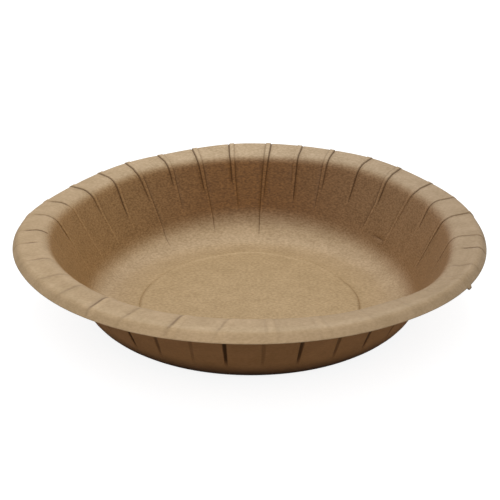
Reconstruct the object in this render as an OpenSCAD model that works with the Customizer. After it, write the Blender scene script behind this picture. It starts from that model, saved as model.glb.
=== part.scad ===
// Round deep paper plate: one disc of kraft board, pressed hot into a bowl with a flat flange
// and a turned-down lip. The board that is too long for the smaller circle is gathered into
// narrow radial pleats, which open from nothing on the wall to their full width at the rim.

/* [Plate] */
// Diameter across the lip, pleats not counted
rim_d = 180; // [150:1:260]
// Height from the table to the top of the flange
height = 33.6; // [24:0.2:45]
// Thickness of the board
board = 0.5; // [0.3:0.05:0.8]

/* [Floor] */
// Width of the flat ring that the plate stands on
ring_w = 9; // [3:0.2:20]
// Height of the round panel inside the ring, so that the plate doesn't rock
panel_rise = 0.4; // [0.1:0.05:0.8]
// Width of the small slope between the ring and the panel
panel_slope_w = 0.8; // [0.4:0.1:1.6]

/* [Wall] */
// Radius of the bend at the foot of the wall
foot_r = 13; // [3:0.5:16]
// Slope of the wall
wall_angle = 63.5; // [54:0.5:72]

/* [Rim] */
// Radius of the bend from the wall into the flange
shoulder_r = 6.5; // [3:0.5:9]
// Width of the flat flange between its two bends
flange_w = 5; // [3:0.2:12]
// Fall of the flange towards the outside
flange_angle = 1; // [0:1:6]
// Radius of the bend from the flange into the lip
lip_r = 2.4; // [1.6:0.1:4]
// Slope of the lip
lip_angle = 57; // [45:1:80]
// Length of the straight part of the lip
lip_len = 2.3; // [1:0.1:4]

/* [Pleats] */
// Number of pleats round the plate, long and short in turn
pleat_n = 34; // [24:2:44]
// Angle of the first long pleat round the plate, from the +X axis
first_pleat = 0.5; // [0:0.5:15]
// Width of a pleat at the edge of the lip
pleat_w = 2.2; // [1:0.1:2.6]
// Height of a pleat above the board beside it
pleat_h = 0.3; // [0.15:0.05:0.5]
// Where the short pleats start, as a share of the way up the wall
short_start = 0.45; // [0.2:0.05:0.7]
// Plain edge of the lip below the end of a pleat
pleat_gap = 0.4; // [0.2:0.1:0.8]
// Width of the crease under a pleat at the edge of the lip
crease_w = 0.7; // [0.4:0.1:0.9]
// Depth of that crease in the underside of the board
crease_depth = 0.2; // [0.05:0.05:0.25]

/* [Hidden] */
$fn = 180;
kraft = [0.70, 0.59, 0.44];
// Flat steps in one bend of the section
bend_steps = 4;
// Spare length of a cutting shape beyond what it cuts
spare = 1;

// The middle line of the board goes from the axis to the lip through these bends. The straight
// of the wall takes up what the bends leave of the height, and the floor what they leave of the rim.
function rise_of(r, a, b) = r * abs(cos(a) - cos(b));
function run_of(r, a, b) = r * abs(sin(a) - sin(b));

ring_z = board / 2;
bends_rise = rise_of(foot_r, 0, wall_angle) + rise_of(shoulder_r, wall_angle, 0);
wall_len = (height - board - bends_rise) / sin(wall_angle);
wall_run = run_of(foot_r, 0, wall_angle) + wall_len * cos(wall_angle) + run_of(shoulder_r, wall_angle, -flange_angle);
rim_run = flange_w * cos(flange_angle) + run_of(lip_r, flange_angle, lip_angle)
    + lip_len * cos(lip_angle) + board / 2 * sin(lip_angle);
ring_out_r = rim_d / 2 - wall_run - rim_run;
panel_r = ring_out_r - ring_w - panel_slope_w;

// A station is a point of the middle line and its slope: [radius, height, slope].
function ahead(s, len) = [s[0] + len * cos(s[2]), s[1] + len * sin(s[2]), s[2]];
// Stations along a bend from station s to slope b, which turns up where side is 1 and down where it is -1
function bend(s, r, b, side) = [for (i = [1 : bend_steps])
    let (a = s[2] + (b - s[2]) * i / bend_steps)
    [s[0] + side * r * (sin(a) - sin(s[2])), s[1] - side * r * (cos(a) - cos(s[2])), a]];
function last(list) = list[len(list) - 1];

floor_line = [
    [0, ring_z + panel_rise, 0],
    [panel_r, ring_z + panel_rise, 0],
    [panel_r + panel_slope_w, ring_z, 0],
    [ring_out_r, ring_z, 0]
];
foot_line = bend(last(floor_line), foot_r, wall_angle, 1);
wall_top = ahead(last(foot_line), wall_len);
shoulder_line = bend(wall_top, shoulder_r, -flange_angle, -1);
flange_end = ahead(last(shoulder_line), flange_w);
lip_line = bend(flange_end, lip_r, -lip_angle, -1);
lip_end = ahead(last(lip_line), lip_len);
rim_line = concat([wall_top], shoulder_line, [flange_end], lip_line);
pleat_line = concat(foot_line, rim_line, [ahead(last(lip_line), lip_len - pleat_gap)]);

// Two pleats in turn, by where they open: at the foot of the wall, or part of the way up it
long_r = last(foot_line)[0];
short_r = long_r + short_start * wall_len * cos(wall_angle);

// Section of a skin that follows the line, between two distances from the middle of the board
module skin(line, low, high) {
    function side(off) = [for (s = line) [s[0] - off * sin(s[2]), s[1] + off * cos(s[2])]];
    upper = side(high);
    lower = side(low);
    rotate_extrude()
        polygon(concat(upper, [for (i = [len(lower) - 1 : -1 : 0]) lower[i]]));
}

// Upright wedges, one at each pleat, that are w wide at the lip's edge and end in a point on the wall
module pleat_wedges(w, turn) {
    reach = rim_d / 2 + spare;
    linear_extrude(height + spare)
        for (i = [0 : pleat_n - 1]) {
            start_r = i % 2 == 0 ? long_r : short_r;
            half = w / 2 * (reach - start_r) / (rim_d / 2 - start_r);
            rotate(first_pleat + i * 360 / pleat_n + turn)
                polygon([[start_r, 0], [reach, -half], [reach, half]]);
        }
}

// The pleats stand on the board and are rooted in its middle.
module pleats() {
    intersection() {
        skin(pleat_line, 0, board / 2 + pleat_h);
        pleat_wedges(pleat_w, 0);
    }
}

// The crease lies under one side of each pleat, where the gathered board turns back.
module creases() {
    side_angle = atan((pleat_w - crease_w) / rim_d);
    intersection() {
        skin(concat(pleat_line, [ahead(lip_end, spare)]), -board / 2 - spare, crease_depth - board / 2);
        pleat_wedges(crease_w, side_angle);
    }
}

module plate() {
    color(kraft)
        difference() {
            union() {
                skin(concat(floor_line, foot_line, rim_line, [lip_end]), -board / 2, board / 2);
                pleats();
            }
            creases();
        }
}

plate();
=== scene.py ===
import math
import bpy
import numpy as np
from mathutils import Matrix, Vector


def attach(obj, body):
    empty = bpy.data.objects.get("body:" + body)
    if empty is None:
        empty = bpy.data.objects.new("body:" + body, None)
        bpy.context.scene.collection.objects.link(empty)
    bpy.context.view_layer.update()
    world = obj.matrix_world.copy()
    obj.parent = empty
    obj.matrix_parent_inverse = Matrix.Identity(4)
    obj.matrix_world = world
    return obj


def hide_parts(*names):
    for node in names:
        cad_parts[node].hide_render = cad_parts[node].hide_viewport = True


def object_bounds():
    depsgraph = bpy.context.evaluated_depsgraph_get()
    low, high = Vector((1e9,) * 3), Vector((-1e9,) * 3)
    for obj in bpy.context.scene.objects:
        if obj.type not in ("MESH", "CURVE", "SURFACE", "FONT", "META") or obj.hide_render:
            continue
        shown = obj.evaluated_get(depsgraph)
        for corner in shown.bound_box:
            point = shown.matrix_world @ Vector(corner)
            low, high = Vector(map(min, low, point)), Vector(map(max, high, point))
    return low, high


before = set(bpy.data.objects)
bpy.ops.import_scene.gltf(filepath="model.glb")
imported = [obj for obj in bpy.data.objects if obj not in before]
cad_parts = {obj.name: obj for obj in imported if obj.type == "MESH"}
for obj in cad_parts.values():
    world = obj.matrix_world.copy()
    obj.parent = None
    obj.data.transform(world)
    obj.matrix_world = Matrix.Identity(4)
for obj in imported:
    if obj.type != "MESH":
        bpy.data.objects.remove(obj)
cad_low, cad_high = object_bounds()


# The lens stands 540 mm from the middle of the plate and looks down on it by 25 degrees, along +Y.
# The picture is taken to be 500 pixels wide and high.
mm = 0.001
eye_far = 540 * mm
eye_rise = math.radians(24.97)
eye_base_z = 20 * mm
eye_aim = Vector((-0.4 * mm, 0.0, 23.0 * mm))
nearest_seen = 50 * mm
picture_px = 500
focal_px = 1398.6
eye = bpy.data.objects.new("eye", bpy.data.cameras.new("eye"))
eye.location = Vector((0.0, -eye_far * math.cos(eye_rise), eye_base_z + eye_far * math.sin(eye_rise)))
eye.rotation_euler = (eye_aim - eye.location).to_track_quat("-Z", "Y").to_euler()
eye.data.lens = eye.data.sensor_width * focal_px / picture_px
eye.data.clip_start = nearest_seen
bpy.context.scene.collection.objects.link(eye)
bpy.context.scene.camera = eye


# The plate is one disc of kraft board, pressed hot between two dies into a floor, a steep wall,
# a flat flange and a turned-down lip. The board that is too long for the smaller circle is
# gathered into 34 narrow pleats, pressed flat, which open from nothing on the wall to the lip.
board = 0.5 * mm
rim_r = cad_high.x
crown = 33.2 * mm
panel_rise = 0.4 * mm
panel_slope_w = 0.8 * mm
ring_w = 9.0 * mm
foot_r = 13.0 * mm
wall_slope = math.radians(63.5)
shoulder_r = 6.5 * mm
flange_w = 5.0 * mm
flange_slope = math.radians(-1)
lip_r = 2.4 * mm
lip_slope = math.radians(-57)
lip_len = 2.3 * mm

bends_rise = (foot_r + shoulder_r) * (1 - math.cos(wall_slope))
wall_len = (crown - board - bends_rise) / math.sin(wall_slope)
wall_run = (foot_r + shoulder_r) * math.sin(wall_slope) + wall_len * math.cos(wall_slope)
rim_run = flange_w + (lip_r + board / 2) * math.sin(-lip_slope) + lip_len * math.cos(lip_slope)
ring_out_r = rim_r - wall_run - rim_run
panel_r = ring_out_r - ring_w - panel_slope_w
panel_z = board / 2 + panel_rise


def along_bend(start, radius, slope, steps):
    """Stations round a bend, from the slope at start to another slope."""
    side = 1 if slope > start[2] else -1
    slopes = np.linspace(start[2], slope, steps + 1)[1:]
    runs = start[0] + side * radius * (np.sin(slopes) - math.sin(start[2]))
    rises = start[1] - side * radius * (np.cos(slopes) - math.cos(start[2]))
    return list(zip(runs, rises, slopes))


def along_straight(start, ahead):
    """Stations on a straight stretch, at the given distances from start."""
    return [(start[0] + d * math.cos(start[2]), start[1] + d * math.sin(start[2]), start[2]) for d in ahead]


# The middle line of the board goes from the middle of the floor to the edge of the lip by
# stations, each with its radius, height and slope. They lie close together where the form turns
# and round the dent, which is low on the wall.
dent_up = 3.3 * mm
dent_steps = np.array([0.4, 0.8, 0.9, 1.0, 1.1, 1.2]) * dent_up
wall_steps = np.linspace(dent_steps[-1], wall_len, 14)[1:]
line = [(panel_r * share, panel_z, 0.0) for share in (0.03, 0.4, 0.8, 0.96, 0.98, 1.0)]
for share in (0.25, 0.5, 0.75, 1.0):
    fall = panel_rise * (1 - math.cos(math.pi * share)) / 2
    line.append((panel_r + panel_slope_w * share, panel_z - fall, 0.0))
line += along_straight(line[-1], ring_w * np.array([0.1, 0.4, 0.7, 1.0]))
foot_at = len(line) - 1
line += along_bend(line[-1], foot_r, wall_slope, steps=8)
wall_at = len(line) - 1
line += along_straight(line[-1], np.concatenate([dent_steps, wall_steps]))
shoulder_at = len(line) - 1
line += along_bend(line[-1], shoulder_r, flange_slope, steps=9)
flange_at = len(line) - 1
line += along_straight(line[-1], flange_w * np.linspace(0, 1, 6)[1:])
lip_at = len(line) - 1
line += along_bend(line[-1], lip_r, lip_slope, steps=5)
edge_at = len(line) - 1
line += along_straight(line[-1], lip_len * np.array([0.3, 0.6, 0.85, 1.0]))
line_r, line_z, line_slope = np.array(line).T

# Distances along the line are counted up from the start of the foot's bend.
line_s = np.concatenate([[0.0], np.cumsum(np.hypot(np.diff(line_r), np.diff(line_z)))])
line_s -= line_s[foot_at]
s = line_s[:, None]


def ease(x):
    """0 below 0, 1 above 1 and a smooth way between them."""
    x = np.clip(x, 0, 1)
    return x * x * (3 - 2 * x)


def above(start, over):
    """0 up to the distance start along the line, 1 from over further on, and a smooth way between."""
    return ease((s - start) / over)


# One row for each pleat, counted anticlockwise from +X: how far it is turned from its even place,
# in degrees, at the lip, the shoulder, two thirds up the wall and at the foot; then its crease
# ahead and its crease behind, each as its lower end in mm from the foot, and how deep it is on the
# rim and on the wall; then how deep the slot under it is, and how high its ridge stands.
pleat_n = 34
first_pleat = 0.5
pleats = np.array([
    [-4.5, -5.1, -6.5, -4.8, 40, 0.0, 0.0, 29, 0.5, 0.55, 0.5, 0.5],
    [-0.7, -2.2, -1.8, -1.6, 22, 0.0, 0.5, 17, 0.7, 0.9, 0.6, 0.8],
    [-0.9, -1.1, -1.5, -0.5, 40, 0.0, 0.0, 30, 0.8, 0.9, 0.4, 0.5],
    [0.3, -2.0, -0.5, 1.0, 20, 0.0, 0.3, 20, 0.9, 0.3, 0.8, 0.8],
    [2.3, 0.2, 0.3, 2.5, 19, 0.3, 0.7, 30, 0.9, 0.8, 0.5, 1.0],
    [1.4, 1.2, 1.4, 1.8, 40, 0.0, 0.0, 26, 0.9, 0.9, 0.7, 0.9],
    [2.6, 1.8, 1.7, 2.0, 20, 0.3, 0.5, 29, 0.9, 0.7, 0.4, 0.9],
    [1.4, 1.2, 0.9, 0.6, 31, 0.0, 0.3, 22, 0.9, 0.9, 0.8, 0.8],
    [-0.2, -0.1, 0.5, 1.1, 6, 0.4, 0.7, 23, 0.9, 0.6, 0.6, 1.0],
    [-0.5, 0.2, 0.0, -0.8, 29, 0.9, 0.9, 18, 0.3, 0.6, 0.3, 1.0],
    [-0.2, 0.2, -0.4, -1.5, 27, 0.9, 0.8, 9, 0.3, 0.6, 0.9, 1.0],
    [-0.2, -0.2, -0.6, -1.4, 32, 0.9, 0.8, 21, 0.2, 0.5, 0.5, 0.9],
    [-0.7, 0.4, -0.8, -2.2, 28, 0.9, 0.6, 6, 0.0, 0.6, 0.7, 1.0],
    [-1.5, -1.1, -0.9, -1.3, 25, 0.8, 0.9, 22, 0.0, 0.2, 0.4, 0.9],
    [-1.1, -0.5, -0.9, -2.5, 31, 0.9, 0.5, 24, 0.0, 0.4, 0.8, 1.0],
    [0.9, 0.6, -0.1, -1.7, 41, 0.8, 0.0, 40, 0.0, 0.0, 0.6, 0.8],
    [0.5, 1.1, 0.3, -0.7, 30, 0.5, 0.5, 40, 0.0, 0.0, 0.4, 0.6],
    [0.7, 1.1, 1.1, 0.5, 40, 1.0, 0.0, 40, 0.0, 0.0, 0.9, 0.4],
    [-1.7, -0.9, -0.5, -0.5, 44, 0.7, 0.0, 40, 0.0, 0.0, 0.5, 0.3],
    [-2.5, 0.1, 0.3, 0.3, 42, 0.35, 0.0, 40, 0.0, 0.0, 0.7, 0.25],
    [-2.5, 0.7, 0.7, 0.7, 42, 0.25, 0.0, 40, 0.0, 0.0, 0.4, 0.2],
    [-3.0, -1.8, -1.8, -1.8, 42, 0.28, 0.0, 40, 0.0, 0.0, 0.2, 0.2],
    [-0.2, -0.2, -1.9, -1.7, 40, 0.0, 0.0, 38, 0.62, 0.0, 1.0, 0.7],
    [-2.4, -0.2, -2.0, -2.7, 40, 0.0, 0.0, 38, 0.25, 0.0, 0.6, 0.35],
    [-1.7, 0.2, -1.6, -2.3, 40, 0.0, 0.0, 38, 0.5, 0.0, 0.3, 0.6],
    [-2.0, 0.9, -2.6, -2.7, 40, 0.0, 0.0, 38, 0.22, 0.0, 1.0, 0.35],
    [-1.2, -1.5, -2.2, -2.3, 38, 0.1, 0.0, 38, 0.12, 0.0, 0.3, 0.35],
    [-0.4, -1.1, -1.9, -2.1, 38, 0.06, 0.0, 38, 0.06, 0.0, 0.9, 0.3],
    [-0.4, -0.6, -1.0, -0.9, 38, 0.06, 0.0, 38, 0.06, 0.0, 0.6, 0.2],
    [-0.4, -0.4, -0.6, -0.4, 38, 0.08, 0.0, 38, 0.0, 0.0, 0.8, 0.2],
    [0.0, 0.0, 0.0, 0.0, 38, 0.1, 0.0, 38, 0.0, 0.0, 0.5, 0.15],
    [0.7, 0.5, 0.0, 0.0, 38, 0.1, 0.0, 38, 0.1, 0.0, 0.7, 0.3],
    [-0.9, -0.9, -0.5, 0.0, 38, 0.0, 0.0, 42, 0.3, 0.0, 0.4, 0.3],
    [-1.7, -1.7, -1.0, 0.0, 38, 0.0, 0.0, 44, 0.8, 0.0, 0.6, 0.4],
])
turn_columns = pleats[:, 0:4]
ahead_columns = pleats[:, 4:7]
behind_columns = pleats[:, 7:10]
slot_share = pleats[:, 10:11]
ridge_share = pleats[:, 11:12]
turn_at = np.array([56.0, 43.0, 31.0, 16.0]) * mm
turns = np.stack([np.interp(line_s, turn_at[::-1], row[::-1]) for row in turn_columns], axis=1)
centre = np.radians(first_pleat + np.arange(pleat_n) * 360 / pleat_n + turns)

# Round the back and the sides the creases are sharp, and most of them reach the lip. At the
# front the pleats are half as wide again and their creases are soft. At the left the creases
# nearly stop on the flange.
front_past = math.radians(13)
left_within = math.radians(26)
at_back = np.sin(centre[-1]) > -math.sin(front_past)
at_left = np.cos(centre[-1]) < -math.cos(left_within)
pleat_spread = np.where(at_back, 1.0, 1.5)
crease_fade = 3 * mm
rim_from = 37 * mm
rim_over = 6 * mm
lip_fade_from = np.where(at_left, 47.5, 50) * mm
lip_fade_over = 4 * mm
lip_fade = np.where(at_left, 0.85, np.where(at_back, 0.4, 0.7))


def crease_depth(low, on_rim, on_wall):
    """How deep each pleat's crease is at each station, from its lower end in mm up to the lip."""
    depth = on_wall + (on_rim - on_wall) * above(rim_from, rim_over)
    return above(low * mm, crease_fade) * depth * (1 - lip_fade * above(lip_fade_from, lip_fade_over))


ahead_cut = crease_depth(*ahead_columns.T)
behind_cut = crease_depth(*behind_columns.T)

# Every other pleat opens low on the wall and the rest higher up, and all stand full at the
# shoulder. The very edge of the lip is plain. A pleat widens from the foot to the lip, and on
# the floor, where it is flat, its columns run together to the middle.
opens_low = 13 * mm
opens_high = 22 * mm
full_at = 40 * mm
opens_at = np.where(np.arange(pleat_n) % 2 == 0, opens_low, opens_high)
grown = above(opens_at, full_at - opens_at)
edge_w = 0.3 * mm
plain_edge = np.clip((line_s[-1] - edge_w - s) / edge_w, 0, 1)
width_at = np.array([15, 28, 40, 50, 56]) * mm
half_widths = np.array([0.4, 0.6, 0.8, 0.95, 1.2]) * mm
close_r = 20 * mm
half_w = np.interp(line_s, width_at, half_widths)
half_turn = (half_w / np.maximum(line_r, close_r))[:, None] * pleat_spread

# A pleat is cut into columns by their place across it, in half widths. For each column: how high
# the strip stands, how deep the crease behind it is, sharp and soft, how deep the slot under it
# is, and how strong the painted highlight along the fold's ridge is. The crease ahead is the one
# behind, turned round.
pleat_h = 0.3 * mm
crease_d = 0.3 * mm
slot_d = 0.35 * mm
across = np.array([-1.7, -1.5, -1.25, -1.0, -0.85, -0.5, 0.0, 0.5, 0.85, 1.0, 1.25, 1.5, 1.7])
strip = np.array([0, 0, 0, 0.3, 1.0, 0.9, 0.8, 0.9, 1.0, 0.3, 0, 0, 0])
sharp_behind = np.array([0.1, 0.75, 1.0, 0.6, 0.1, 0, 0, 0, 0, 0, 0, 0, 0])
soft_behind = np.array([0.3, 1.0, 1.0, 0.8, 0.3, 0, 0, 0, 0, 0, 0, 0, 0])
slot = np.array([0, 0, 0, 0, 0.5, 1.0, 1.0, 1.0, 0.5, 0, 0, 0, 0])
fold_highlight = np.array([0, 0, 0, 0, 0.3, 0.8, 1.0, 0.8, 0.3, 0, 0, 0, 0])
light_from = 11 * mm
light_over = 6 * mm
slot_from = 14 * mm
slot_over = 5 * mm
light_run = above(light_from, light_over) * plain_edge
slot_run = above(slot_from, slot_over) * plain_edge
behind = np.where(at_back[:, None], sharp_behind, soft_behind)
cut = ahead_cut[:, :, None] * behind[:, ::-1] + behind_cut[:, :, None] * behind
cut *= plain_edge[:, :, None]
ridge = (grown * plain_edge)[:, :, None] * ridge_share * strip
slot_cut = slot_run[:, :, None] * slot_share * slot

# The board between two pleats has evenly spread columns.
plain_n = 7
columns_n = len(across) + plain_n
pleat_phi = centre[:, :, None] + half_turn[:, :, None] * across
plain_from = pleat_phi[:, :, -1:]
plain_to = np.roll(pleat_phi[:, :, :1], -1, axis=1)
plain_to[:, -1] += 2 * math.pi
plain_share = np.arange(1, plain_n + 1) / (plain_n + 1)
plain_phi = plain_from + (plain_to - plain_from) * plain_share
phi = np.concatenate([pleat_phi, plain_phi], axis=2).reshape(len(line), -1)


def on_pleats(values):
    """The values of the pleats' columns, with 0 on the board between them, in rows round the plate."""
    whole = np.zeros((len(line), pleat_n, columns_n))
    whole[:, :, :len(across)] = values
    return whole.reshape(len(line), -1)


top = on_pleats(pleat_h * ridge - crease_d * cut)
under = on_pleats(slot_d * slot_cut)
crease = on_pleats(cut)
slit = on_pleats(slot_cut)
# Painted highlight along each fold's ridge, up the wall and over the rim, more for higher ridges.
ridge_highlight = on_pleats(light_run[:, :, None] * ridge_share * fold_highlight)

# The board has warped a little: the keys, in mm and 30 degrees apart from +X, are how far the rim
# has gone up and out, and how far the shoulder has gone out and up besides. The pressed circle
# isn't quite round either.
key_turn = math.radians(30)
rim_up = np.array([-0.3, -0.4, 0.7, 1.0, -0.6, -2.0, -0.5, 0.2, 0.7, 1.0, 0.5, -0.1]) * mm
rim_out = np.array([-1.0, -0.8, 0.7, 1.1, -0.1, -0.7, 0.3, 0.1, 0.6, 0.3, -0.3, -0.4]) * mm
shoulder_out = np.array([0.1, 0.0, 0.0, -0.3, 0.0, 0.0, 0.0, -0.3, -0.2, -0.2, 0.2, 0.8]) * mm
shoulder_up = np.array([-0.5, -0.2, -0.4, -1.6, -0.3, 0.0, 0.2, 0.8, 0.6, 0.55, -0.2, -2.0]) * mm
circle_out = np.array([-1.4, -2.1, -0.2, 2.5, 0.8, -0.6, -0.3, 0.0, 0.0, 0.0, 0.0, 0.0]) * mm


def round_plate(keys):
    """The value of a row of keys at each column, eased from one key to the next."""
    turn = phi / key_turn
    last = np.floor(turn).astype(int)
    share = np.sin((turn - last) * math.pi / 2) ** 2
    return keys[last % len(keys)] * (1 - share) + keys[(last + 1) % len(keys)] * share


# The rim's warp grows with the height, the shoulder's with its square up to the flange, where it
# dies out again, and the circle's starts inside the circle and ends at the ring's outside.
height_share = (line_z / crown)[:, None]
on_rim = s > line_s[flange_at]
rim_share = np.where(on_rim, 1.0, height_share)
across_flange = (s - line_s[flange_at]) / flange_w
shoulder_share = np.where(on_rim, np.clip(1 - across_flange, 0, 1), height_share ** 2)
circle_at = [0.7 * panel_r, 0.97 * panel_r, panel_r + panel_slope_w, ring_out_r]
circle_share = np.interp(line_r, circle_at, [0, 1, 1, 0])[:, None]
warp_out = rim_share * round_plate(rim_out) + shoulder_share * round_plate(shoulder_out)
warp_out += circle_share * round_plate(circle_out)
warp_up = height_share * round_plate(rim_up) + shoulder_share * round_plate(shoulder_up)

# A short knock low on the wall, at the right, has left a dent with a sharp bottom, darkened with painted
# shade.
dent_from = math.radians(33)
dent_to = math.radians(40)
dent_reach = 0.6 * mm
dent_d = 0.4 * mm
dent_shade = 0.55
dent_s = line_s[wall_at] + dent_up
along_dent = np.clip((phi - dent_from) / (dent_to - dent_from), 0, 1)
dent = ease(1 - np.abs(s - dent_s) / dent_reach) * np.sin(along_dent * math.pi)
top -= dent_d * dent
crease = np.maximum(crease, dent_shade * dent)

# At one pleat the end of the fold stands out below the lip, and its end is dark.
flap_pleat = 31
flap_len = 1.0 * mm
flap_dark = 0.7
flap_col = flap_pleat * columns_n + len(across) // 2
flap = np.zeros(phi.shape[1])
flap[flap_col - 1:flap_col + 2] = flap_len
flap_grow = flap * np.clip((s - line_s[edge_at]) / lip_len, 0, 1)
at_edge = s >= line_s[-1]
crease = np.maximum(crease, flap_dark * flap_grow / flap_len * at_edge)


def skin(off):
    """One face of the board, off the middle line by off, as rows of points."""
    r = line_r[:, None] - off * np.sin(line_slope)[:, None] + warp_out + flap_grow * math.cos(lip_slope)
    z = line_z[:, None] + off * np.cos(line_slope)[:, None] + warp_up + flap_grow * math.sin(lip_slope)
    return np.stack([r * np.cos(phi), r * np.sin(phi), z], axis=-1)


# The rows go from the middle of the floor over the lip and back below, and a fan of three-sided
# faces closes each middle.
rows = np.concatenate([skin(board / 2 + top), skin(-board / 2 + under)[::-1]])
row_n, col_n = rows.shape[:2]
top_hub = row_n * col_n
low_hub = top_hub + 1
hubs = [[0, 0, panel_z + board / 2], [0, 0, panel_z - board / 2]]
points = np.concatenate([rows.reshape(-1, 3), hubs])
around = np.arange(col_n)
after = (around + 1) % col_n
row_start = np.arange(row_n - 1)[:, None] * col_n
corner = row_start + around
beside = row_start + after
quads = np.stack([corner, corner + col_n, beside + col_n, beside], axis=-1).reshape(-1, 4)
last_start = (row_n - 1) * col_n
fans = [(top_hub, int(a), int(b)) for a, b in zip(around, after)]
fans += [(low_hub, int(last_start + b), int(last_start + a)) for a, b in zip(around, after)]
mesh = bpy.data.meshes.new("pressed_plate")
mesh.from_pydata(points.tolist(), [], quads.tolist() + fans)
mesh.polygons.foreach_set("use_smooth", [True] * len(mesh.polygons))

# Zones of the board. Each is 1 within its zone and 0 away from it, with a soft border. The first
# three are round the plate, and the others along the line.
steep_from = math.radians(25)
steep_over = math.radians(38)
outer_from = 50 * mm
outer_over = 25 * mm


def near(distances, place, width):
    """1 at a place along the line, less on both sides of it, and nearly 0 from two widths off."""
    return np.exp(-(((distances - place) / width) ** 2))[:, None]


back = np.clip(np.sin(phi), 0, 1) ** 2
front = np.clip(-np.sin(phi), 0, 1)
right = np.clip(np.cos(phi), 0, 1) ** 0.7
steep = ease((line_slope[:, None] - steep_from) / steep_over)
outer = ease((line_r[:, None] - outer_from) / outer_over)
on_floor = 1 - above(-12 * mm, over=20 * mm)
on_foot = above(-4 * mm, over=8 * mm) * (1 - above(8 * mm, over=6 * mm))
on_wall = above((5 + 6 * back) * mm, over=10 * mm) * np.where(s > line_s[shoulder_at], steep, 1)
on_flange = above(40 * mm, over=4 * mm)
on_lip = above(line_s[lip_at], over=3 * mm)
circle_edge = near(line_r, panel_r - 0.2 * mm, width=0.7 * mm)
on_circle = near(line_r, panel_r + 0.2 * mm, width=0.5 * mm)
rim_edge = near(line_s, line_s[lip_at] - 0.3 * mm, width=1.4 * mm)
# Where the underside takes the painted shadow near the foot.
foot_shadow = 1 - above(8 * mm, over=10 * mm)

# Painted shade darkens the wall, most at the back, and the underside, which has a painted shadow
# near the foot and painted light at its sides. Painted light makes paler the lip, the folds' ridges
# and, at the back, the foot, the flange and the edge of the pressed circle; painted shade darkens
# that edge at the sides and the rim at the right. The floor is a little yellower. Each tint has its
# zone, and what it does there to red, green and blue.
inside_tints = [
    (on_floor, (1.0, 0.985, 0.89)),
    # painted highlight at the back of the pressed circle's edge, painted shade at its sides
    (circle_edge * back, (1.28, 1.34, 1.48)),
    (on_circle * (1 - back) ** 2, (0.78, 0.75, 0.70)),
    # painted light on the foot at the back
    (on_foot * back, (1.16, 1.19, 1.22)),
    # painted shade on the wall, most at the back, a little bluer at the right
    (on_wall * (1 - back), (0.70, 0.56, 0.37)),
    (on_wall * back, (0.44, 0.27, 0.10)),
    (4 * on_wall * back * (1 - back), (1.0, 0.97, 0.84)),
    (on_wall * right, (0.97, 0.96, 1.08)),
    # painted highlights on the folds' ridges
    (on_wall * ridge_highlight * (1 - 0.6 * back), (1.26, 1.29, 1.36)),
    (on_flange * ridge_highlight * front, (1.12, 1.12, 1.12)),
    # painted shade on the flange at the right front, painted highlight on it at the back
    (on_flange * right * front, (0.93, 0.92, 0.88)),
    (on_flange * back, (1.08, 1.12, 1.18)),
    # painted light on the rim's edge and the lip, most at the front
    (rim_edge * front, (1.10, 1.13, 1.16)),
    (on_lip, (1.10, 1.10, 1.10)),
    (on_lip * front ** 4, (1.19, 1.18, 1.18)),
    # painted shade at the right
    (outer * right, (0.86, 0.87, 0.92)),
]
outside_shade_tints = [
    # painted shade over the underside, painted shadow near the foot, painted light at the sides
    (np.ones_like(phi), (0.90, 0.62, 0.41)),
    (foot_shadow, (0.18, 0.14, 0.10)),
    (np.cos(phi) ** 2, (1.2, 1.2, 1.2)),
]

# How strongly the fibre shows: most on the far wall, least on the underside.
inside_fibre = 0.32 - 0.16 * on_flange * (1 - back) + (0.12 + 0.22 * back) * on_wall
outside_fibre = 0.15


def painted(tints, fibre):
    """The tints together at each point, where 1 leaves the board as it is, and the fibre as alpha."""
    paint = np.ones(phi.shape + (4,))
    for share, tint in tints:
        paint[..., :3] *= 1 + share[..., None] * (np.array(tint) - 1)
    paint[..., 3] = fibre
    return paint


inside = painted(inside_tints, inside_fibre)
outside = painted(outside_shade_tints, outside_fibre)
hub_paint = [inside[0].mean(axis=0), outside[0].mean(axis=0)]
paint = np.concatenate([inside.reshape(-1, 4), outside[::-1].reshape(-1, 4), hub_paint])
# The tints, mostly painted light and shade, with the fibre strength as alpha.
tone = mesh.attributes.new("tone", "FLOAT_COLOR", "POINT")
tone.data.foreach_set("color", paint.astype(np.float32).ravel())
# Painted shade in the creases, slots and the dent's bottom, and the flap's dark end, as one value.
fold_and_slot_shade = np.concatenate([crease.ravel(), slit[::-1].ravel(), [0, 0]])
fold_shade_attribute = mesh.attributes.new("crease", "FLOAT", "POINT")
fold_shade_attribute.data.foreach_set("value", fold_and_slot_shade.astype(np.float32))
mesh.update()
plate = bpy.data.objects.new("pressed_plate", mesh)
bpy.context.scene.collection.objects.link(plate)

# Kraft board is a felt of brown fibres, uncoated to the eye, with a low sheen from the hot dies.
# Its creases, the slots under the folds and the dent's bottom are darkened with painted shade, and
# the flap's end with the same dark colour.
light_kraft = (0.475, 0.332, 0.189, 1)
dark_kraft = (0.405, 0.278, 0.149, 1)
light_fibre = (0.64, 0.47, 0.29, 1)
dark_fibre = (0.24, 0.145, 0.060, 1)
painted_fold_shade = (0.070, 0.026, 0.002, 1)
fibres_per_m = 2100
fibre_squeeze = (0.4, 0.6, 1.0)
clouds_per_m = 160
cloud_squeeze = (0.7, 1.0, 1.0)
noise_low = 0.33
noise_high = 0.67
fibre_h = 0.005 * mm
kraft = bpy.data.materials.new("kraft_board")
kraft.use_nodes = True
nodes = kraft.node_tree.nodes
links = kraft.node_tree.links
finish = nodes["Principled BSDF"]
finish.inputs["Roughness"].default_value = 0.55
finish.inputs["Specular IOR Level"].default_value = 0.3
place = nodes.new("ShaderNodeTexCoord")


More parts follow.
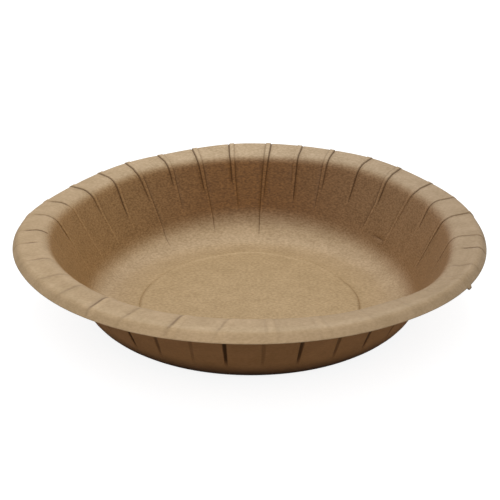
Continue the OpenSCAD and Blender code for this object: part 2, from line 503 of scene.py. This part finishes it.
def speckle(per_m, detail, squeeze):
    """Spots in the board's own space, so many to the metre along each axis times its squeeze."""
    along = nodes.new("ShaderNodeMapping")
    along.inputs["Scale"].default_value = squeeze
    noise = nodes.new("ShaderNodeTexNoise")
    noise.inputs["Scale"].default_value = per_m
    noise.inputs["Detail"].default_value = detail
    links.new(place.outputs["Object"], along.inputs["Vector"])
    links.new(along.outputs["Vector"], noise.inputs["Vector"])
    spread = nodes.new("ShaderNodeMapRange")
    spread.inputs["From Min"].default_value = noise_low
    spread.inputs["From Max"].default_value = noise_high
    links.new(noise.outputs["Fac"], spread.inputs["Value"])
    return spread.outputs["Result"]


def blend(mode, amount, under_it, over_it):
    """A mix of two colours, each a colour or a socket, by an amount that may be a socket too."""
    mix = nodes.new("ShaderNodeMix")
    mix.data_type = "RGBA"
    mix.blend_type = mode
    for name, value in (("Factor", amount), ("A", under_it), ("B", over_it)):
        if isinstance(value, bpy.types.NodeSocket):
            links.new(value, mix.inputs[name])
        else:
            mix.inputs[name].default_value = value
    return mix.outputs["Result"]


def mark(name, output):
    """What the mesh holds at each point under a name."""
    attribute = nodes.new("ShaderNodeAttribute")
    attribute.attribute_name = name
    return attribute.outputs[output]


grain = speckle(fibres_per_m, detail=2, squeeze=fibre_squeeze)
clouds = speckle(clouds_per_m, detail=3, squeeze=cloud_squeeze)
cloudy = blend("MIX", clouds, dark_kraft, light_kraft)
fibrous = blend("MIX", mark("tone", "Alpha"), cloudy, blend("MIX", grain, dark_fibre, light_fibre))
# The tints of painted light and shade multiplied into the board's colour.
board_with_painted_light = blend("MULTIPLY", 1.0, fibrous, mark("tone", "Color"))
# Painted shade of the creases and slots mixed over the board's colour.
colour = blend("MIX", mark("crease", "Fac"), board_with_painted_light, painted_fold_shade)
links.new(colour, finish.inputs["Base Color"])
bump = nodes.new("ShaderNodeBump")
bump.inputs["Distance"].default_value = fibre_h
links.new(grain, bump.inputs["Height"])
links.new(bump.outputs["Normal"], finish.inputs["Normal"])
mesh.materials.append(kraft)
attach(plate, "root")
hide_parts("plate")


# Three soft lamps: a broad one overhead and behind, a weaker one in front and a small one near
# the plate at the left. All are turned to the middle of the plate.
lamp_aim = Vector((0, 0, 20 * mm))


def soft_lamp(name, place_at, width, watts):
    lamp = bpy.data.objects.new(name, bpy.data.lights.new(name, "AREA"))
    lamp.data.shape = "DISK"
    lamp.data.size = width
    lamp.data.energy = watts
    lamp.location = place_at
    lamp.rotation_euler = (lamp_aim - Vector(place_at)).to_track_quat("-Z", "Y").to_euler()
    bpy.context.scene.collection.objects.link(lamp)


soft_lamp("overhead", (0, 0.30, 0.60), width=0.45, watts=1.6)
soft_lamp("front", (0, -0.55, 0.50), width=0.5, watts=0.88)
soft_lamp("left", (-0.25, 0.03, 0.28), width=0.2, watts=0.05)


# The air is white to the lens, and lights the plate evenly from all round at a lower strength.
air_light = 0.60
world = bpy.data.worlds.new("studio")
bpy.context.scene.world = world
world.use_nodes = True
air = world.node_tree
sky = air.nodes["Background"]
sky.inputs["Color"].default_value = (1, 1, 1, 1)
rays = air.nodes.new("ShaderNodeLightPath")
seen = air.nodes.new("ShaderNodeMapRange")
seen.inputs["To Min"].default_value = air_light
seen.inputs["To Max"].default_value = 1.0
air.links.new(rays.outputs["Is Camera Ray"], seen.inputs["Value"])
air.links.new(seen.outputs["Result"], sky.inputs["Strength"])


# The floor is one sheet of pale paper, far wider than the picture, just clear of the plate. It
# shows white to the lens and keeps the plate's shadow there, and throws a little light back up
# on the underside.
reach = 6.0
floor_gap = 0.05 * mm
white_glow = 0.86
seen_paper = (0.35, 0.35, 0.35, 1)
unseen_paper = (0.3, 0.3, 0.3, 1)
floor_mesh = bpy.data.meshes.new("floor")
corners = [(-reach, -reach, 0), (reach, -reach, 0), (reach, reach, 0), (-reach, reach, 0)]
floor_mesh.from_pydata(corners, [], [(0, 1, 2, 3)])
floor = bpy.data.objects.new("floor", floor_mesh)
floor.location.z = -floor_gap
bpy.context.scene.collection.objects.link(floor)
paper = bpy.data.materials.new("pale_floor")
paper.use_nodes = True
tree = paper.node_tree
tree.nodes.remove(tree.nodes["Principled BSDF"])
out = tree.nodes["Material Output"]
glow = tree.nodes.new("ShaderNodeEmission")
glow.inputs["Strength"].default_value = white_glow
pale = tree.nodes.new("ShaderNodeBsdfDiffuse")
pale.inputs["Color"].default_value = seen_paper
both = tree.nodes.new("ShaderNodeAddShader")
tree.links.new(glow.outputs[0], both.inputs[0])
tree.links.new(pale.outputs[0], both.inputs[1])
dim = tree.nodes.new("ShaderNodeBsdfDiffuse")
dim.inputs["Color"].default_value = unseen_paper
path = tree.nodes.new("ShaderNodeLightPath")
pick = tree.nodes.new("ShaderNodeMixShader")
tree.links.new(path.outputs["Is Camera Ray"], pick.inputs[0])
tree.links.new(dim.outputs[0], pick.inputs[1])
tree.links.new(both.outputs[0], pick.inputs[2])
tree.links.new(pick.outputs[0], out.inputs["Surface"])
floor_mesh.materials.append(paper)

scene = bpy.context.scene
scene.view_settings.view_transform = "Standard"
